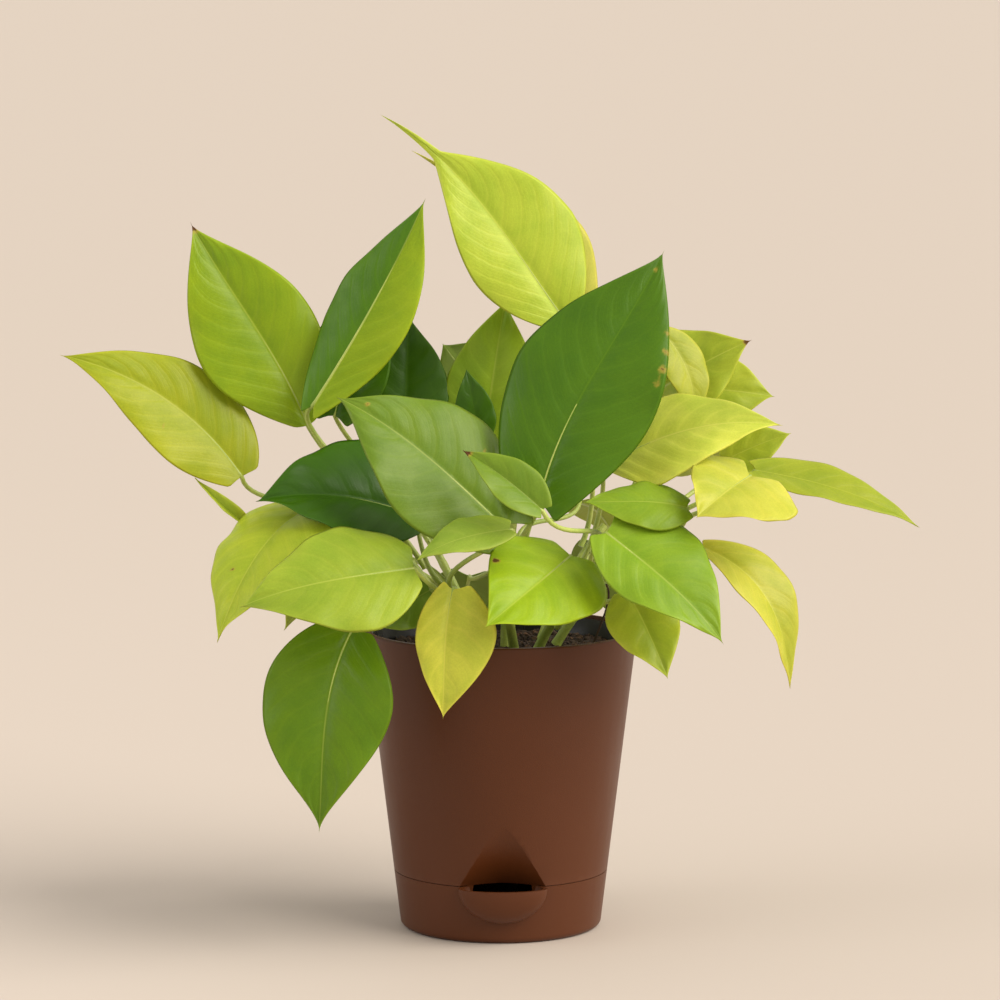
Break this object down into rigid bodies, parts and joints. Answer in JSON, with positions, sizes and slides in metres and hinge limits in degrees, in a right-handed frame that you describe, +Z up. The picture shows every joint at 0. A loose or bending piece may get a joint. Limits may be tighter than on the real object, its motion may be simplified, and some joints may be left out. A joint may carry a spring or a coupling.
{
  "type": "potted plant",
  "caption": "Trailing foliage plant with heart-shaped lime-green leaves in a tapered brown self-watering pot with a filler spout.",
  "frame": {"origin": "centre of the pot's flat underside", "axes": "+Z up along the pot's axis, -Y towards the front with the filler spout, +X to the right seen from the front"},
  "size_m": [0.3665, 0.2375, 0.3515],
  "materials": {
    "pot_plastic": "satin dark brown moulded plastic",
    "inner_plastic": "black moulded plastic",
    "soil": "dark moist potting mix",
    "stem": "smooth fleshy green stem",
    "dry_root": "dry brown root",
    "lime_leaf": "waxy lime-green leaf",
    "yellow_leaf": "waxy yellow leaf",
    "green_leaf": "waxy mid-green leaf",
    "dark_leaf": "waxy dark green leaf"
  },
  "bodies": {
    "root": {"planter": "pot_plastic", "reservoir": "pot_plastic", "inner_pot": "inner_plastic", "soil": "soil", "aerial_root": "dry_root", "vine_left": "stem", "vine_front_left": "stem", "vine_centre": "stem", "vine_top": "stem", "vine_right": "stem", "vine_far_right": "stem", "vine_rear_left": "stem", "vine_rear": "stem", "vine_rear_right": "stem", "leaf_far_left": "lime_leaf", "leaf_upper_left": "lime_leaf", "leaf_top": "lime_leaf", "leaf_rolled": "green_leaf", "leaf_dark_shoulder": "dark_leaf", "leaf_dark_rear": "dark_leaf", "leaf_mid_rear": "lime_leaf", "leaf_small_dark": "dark_leaf", "leaf_big_dark": "dark_leaf", "leaf_centre_left": "green_leaf", "leaf_small_centre": "green_leaf", "leaf_dark_left": "dark_leaf", "leaf_low_left": "lime_leaf", "leaf_curled_tip": "lime_leaf", "leaf_front_left": "lime_leaf", "leaf_hanging_left": "lime_leaf", "leaf_front_yellow": "lime_leaf", "leaf_small_mid": "green_leaf", "leaf_bright_centre": "lime_leaf", "leaf_right_green": "green_leaf", "leaf_small_right": "green_leaf", "leaf_low_right": "lime_leaf", "leaf_right_lime": "lime_leaf", "leaf_heart": "lime_leaf", "leaf_far_right": "lime_leaf", "leaf_droop_right": "lime_leaf", "leaf_upper_right": "lime_leaf", "leaf_rear_right": "lime_leaf", "leaf_curved_right": "yellow_leaf", "leaf_top_rear": "yellow_leaf", "leaf_low_centre": "green_leaf", "leaf_tip_right": "lime_leaf", "leaf_back_left": "lime_leaf", "leaf_back_low_left": "lime_leaf", "leaf_back_high": "green_leaf", "leaf_back_middle": "lime_leaf", "leaf_back_low": "green_leaf", "leaf_back_right": "lime_leaf", "leaf_back_low_right": "green_leaf", "leaf_back_tall_right": "lime_leaf", "leaf_rear_spread": "lime_leaf"}
  },
  "joints": []
}
